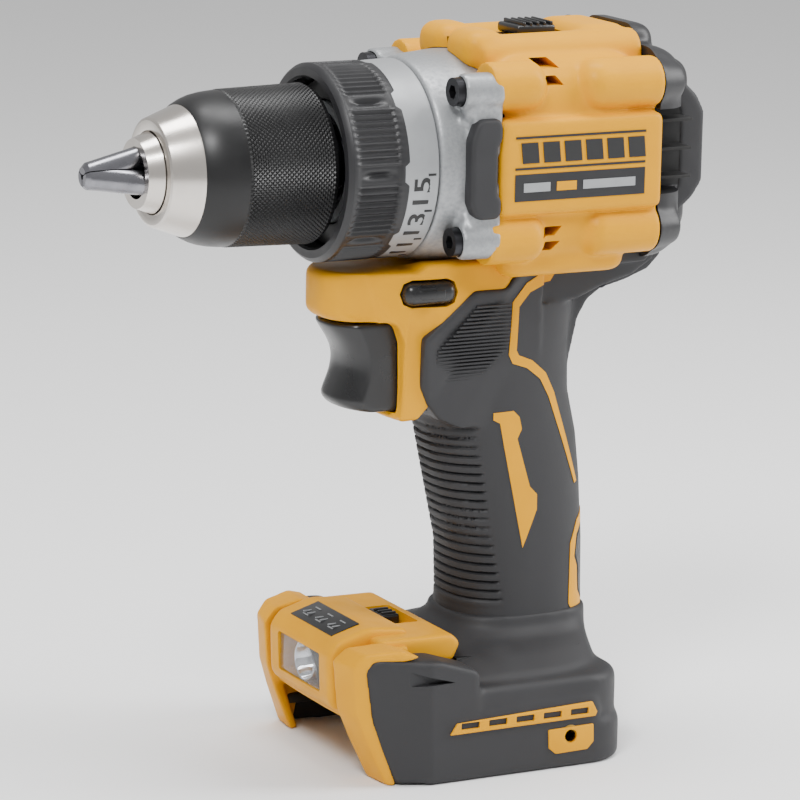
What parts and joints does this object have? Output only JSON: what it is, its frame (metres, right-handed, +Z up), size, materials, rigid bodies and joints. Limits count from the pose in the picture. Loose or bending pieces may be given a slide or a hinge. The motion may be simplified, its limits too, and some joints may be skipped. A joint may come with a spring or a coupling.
{
  "type": "cordless drill",
  "caption": "Pistol-grip cordless drill/driver with keyless chuck, torque collar, two-speed gearbox, trigger, work lamp and an open battery foot.",
  "frame": {"origin": "on the spindle axis at the tips of the closed chuck jaws", "axes": "+X forward along the spindle to the bit, +Y the tool's left side, +Z up"},
  "size_m": [0.1761, 0.078, 0.1996],
  "materials": {
    "steel_bright": "turned",
    "steel_dark": "machined",
    "steel_hardened": "ground",
    "sleeve_black": "black anodised",
    "collar_charcoal": "moulded",
    "number_silver": "metallic paint",
    "cast_alloy": "die cast",
    "yellow_plastic": "moulded",
    "rubber_charcoal": "moulded",
    "black_plastic": "moulded",
    "gloss_black": "polished mould",
    "lens_clear": "clear",
    "reflector": "vacuum plated",
    "brass": "machined",
    "copper": "enamelled wire",
    "lamination": "stacked",
    "nylon": "moulded"
  },
  "bodies": {
    "housing": {"housing_left": "yellow_plastic", "housing_right": "yellow_plastic", "grip_left": "rubber_charcoal", "grip_right": "rubber_charcoal", "housing_screws": "steel_dark", "hook_inserts": "brass", "bumpers": "rubber_charcoal", "rear_cap": "collar_charcoal", "gear_case": "cast_alloy", "gear_case_screws": "steel_dark", "gear_cover_plate": "steel_dark", "ring_gear_1": "steel_dark", "ring_gear_3": "steel_dark", "clutch_spring": "steel_dark", "clutch_washer": "steel_dark", "clutch_pins": "steel_hardened", "spindle_bearings": "steel_hardened", "motor_bearings": "steel_hardened", "motor_stator": "lamination", "stator_windings": "copper", "motor_board": "nylon", "switch_body": "black_plastic", "lamp_head": "yellow_plastic", "lamp_lens": "lens_clear", "lamp_reflector": "reflector", "control_module": "black_plastic", "terminal_block": "black_plastic"},
    "spindle_group": {"spindle": "steel_dark", "chuck_body": "steel_bright", "chuck_screw": "steel_dark", "chuck_thrust_balls": "steel_hardened", "carrier_3": "steel_hardened"},
    "sleeve_group": {"chuck_sleeve": "sleeve_black", "chuck_nose_ring": "steel_bright", "chuck_nut": "steel_dark"},
    "collar_group": {"torque_collar": "collar_charcoal", "torque_number_ring": "number_silver"},
    "clutch_nut": {"clutch_nut": "nylon"},
    "rotor_group": {"motor_rotor": "lamination", "cooling_fan": "nylon"},
    "carrier_1": {"carrier_1": "steel_hardened"},
    "carrier_2": {"carrier_2": "steel_hardened"},
    "speed_shift_group": {"speed_selector": "black_plastic", "shift_link": "steel_dark", "ring_gear_2": "steel_dark"},
    "trigger": {"trigger": "gloss_black"},
    "direction_lever": {"direction_lever": "gloss_black"},
    "lamp_slider": {"lamp_slider": "black_plastic"},
    "planet_1_1": {"planet_1_1": "steel_hardened"},
    "planet_1_2": {"planet_1_2": "steel_hardened"},
    "planet_1_3": {"planet_1_3": "steel_hardened"},
    "planet_2_1": {"planet_2_1": "steel_hardened"},
    "planet_2_2": {"planet_2_2": "steel_hardened"},
    "planet_2_3": {"planet_2_3": "steel_hardened"},
    "planet_3_1": {"planet_3_1": "steel_hardened"},
    "planet_3_2": {"planet_3_2": "steel_hardened"},
    "planet_3_3": {"planet_3_3": "steel_hardened"},
    "jaw_1": {"chuck_jaw_1": "steel_hardened"},
    "jaw_2": {"chuck_jaw_2": "steel_hardened"},
    "jaw_3": {"chuck_jaw_3": "steel_hardened"}
  },
  "joints": [
    {"name": "spindle_spin", "type": "hinge", "parent": "housing", "child": "spindle_group", "pos_m": [0, 0, 0], "axis": [1, 0, 0], "continuous": true},
    {"name": "rotor_spin", "type": "hinge", "parent": "housing", "child": "rotor_group", "pos_m": [0, 0, 0], "axis": [1, 0, 0], "continuous": true},
    {"name": "carrier_1_spin", "type": "hinge", "parent": "housing", "child": "carrier_1", "pos_m": [0, 0, 0], "axis": [1, 0, 0], "continuous": true},
    {"name": "carrier_2_spin", "type": "hinge", "parent": "housing", "child": "carrier_2", "pos_m": [0, 0, 0], "axis": [1, 0, 0], "continuous": true},
    {"name": "planet_1_1_spin", "type": "hinge", "parent": "carrier_1", "child": "planet_1_1", "pos_m": [-0.1, 0.0132, 0], "axis": [1, 0, 0], "continuous": true},
    {"name": "planet_1_2_spin", "type": "hinge", "parent": "carrier_1", "child": "planet_1_2", "pos_m": [-0.1, -0.0066, 0.01143], "axis": [1, 0, 0], "continuous": true},
    {"name": "planet_1_3_spin", "type": "hinge", "parent": "carrier_1", "child": "planet_1_3", "pos_m": [-0.1, -0.0066, -0.01143], "axis": [1, 0, 0], "continuous": true},
    {"name": "planet_2_1_spin", "type": "hinge", "parent": "carrier_2", "child": "planet_2_1", "pos_m": [-0.1, 0.012, 0], "axis": [1, 0, 0], "continuous": true},
    {"name": "planet_2_2_spin", "type": "hinge", "parent": "carrier_2", "child": "planet_2_2", "pos_m": [-0.1, -0.006, 0.01039], "axis": [1, 0, 0], "continuous": true},
    {"name": "planet_2_3_spin", "type": "hinge", "parent": "carrier_2", "child": "planet_2_3", "pos_m": [-0.1, -0.006, -0.01039], "axis": [1, 0, 0], "continuous": true},
    {"name": "planet_3_1_spin", "type": "hinge", "parent": "spindle_group", "child": "planet_3_1", "pos_m": [-0.1, 0.0132, 0], "axis": [1, 0, 0], "continuous": true},
    {"name": "planet_3_2_spin", "type": "hinge", "parent": "spindle_group", "child": "planet_3_2", "pos_m": [-0.1, -0.0066, 0.01143], "axis": [1, 0, 0], "continuous": true},
    {"name": "planet_3_3_spin", "type": "hinge", "parent": "spindle_group", "child": "planet_3_3", "pos_m": [-0.1, -0.0066, -0.01143], "axis": [1, 0, 0], "continuous": true},
    {"name": "chuck_sleeve_turn", "type": "hinge", "parent": "spindle_group", "child": "sleeve_group", "pos_m": [0, 0, 0], "axis": [1, 0, 0], "range_deg": [0, 4140]},
    {"name": "jaw_1_slide", "type": "slide", "parent": "spindle_group", "child": "jaw_1", "axis": [-0.9703, 0, 0.2419], "range_m": [0, 0.02379]},
    {"name": "jaw_2_slide", "type": "slide", "parent": "spindle_group", "child": "jaw_2", "axis": [-0.9703, -0.2095, -0.121], "range_m": [0, 0.02379]},
    {"name": "jaw_3_slide", "type": "slide", "parent": "spindle_group", "child": "jaw_3", "axis": [-0.9703, 0.2095, -0.121], "range_m": [0, 0.02379]},
    {"name": "torque_collar_turn", "type": "hinge", "parent": "housing", "child": "collar_group", "pos_m": [0, 0, 0], "axis": [1, 0, 0], "range_deg": [0, 280]},
    {"name": "clutch_nut_slide", "type": "slide", "parent": "housing", "child": "clutch_nut", "axis": [-1, 0, 0], "range_m": [0, 0.00472], "deforming": ["clutch_spring"]},
    {"name": "speed_select", "type": "slide", "parent": "housing", "child": "speed_shift_group", "axis": [-1, 0, 0], "range_m": [0, 0.003]},
    {"name": "trigger_pull", "type": "slide", "parent": "housing", "child": "trigger", "axis": [-1, 0, 0], "range_m": [0, 0.0065], "stiffness_N_per_m": 900, "springref_m": -0.002},
    {"name": "direction_shift", "type": "slide", "parent": "housing", "child": "direction_lever", "axis": [0, 1, 0], "range_m": [-0.0016, 0.0016]},
    {"name": "lamp_mode", "type": "slide", "parent": "housing", "child": "lamp_slider", "axis": [0, 1, 0], "range_m": [0, 0.008]}
  ],
  "couplings": [
    {"joint": "rotor_spin", "follows": "spindle_spin", "ratio": 53.778},
    {"joint": "carrier_1_spin", "follows": "spindle_spin", "ratio": 14.667},
    {"joint": "carrier_2_spin", "follows": "spindle_spin", "ratio": 3.6667},
    {"joint": "planet_1_1_spin", "follows": "spindle_spin", "ratio": -46.933},
    {"joint": "planet_1_2_spin", "follows": "spindle_spin", "ratio": -46.933},
    {"joint": "planet_1_3_spin", "follows": "spindle_spin", "ratio": -46.933},
    {"joint": "planet_2_1_spin", "follows": "spindle_spin", "ratio": -11},
    {"joint": "planet_2_2_spin", "follows": "spindle_spin", "ratio": -11},
    {"joint": "planet_2_3_spin", "follows": "spindle_spin", "ratio": -11},
    {"joint": "planet_3_1_spin", "follows": "spindle_spin", "ratio": -3.2},
    {"joint": "planet_3_2_spin", "follows": "spindle_spin", "ratio": -3.2},
    {"joint": "planet_3_3_spin", "follows": "spindle_spin", "ratio": -3.2},
    {"joint": "jaw_1_slide", "follows": "chuck_sleeve_turn", "m_per_rad": 0.00032894},
    {"joint": "jaw_2_slide", "follows": "chuck_sleeve_turn", "m_per_rad": 0.00032894},
    {"joint": "jaw_3_slide", "follows": "chuck_sleeve_turn", "m_per_rad": 0.00032894},
    {"joint": "clutch_nut_slide", "follows": "torque_collar_turn", "m_per_rad": 0.00096175}
  ]
}
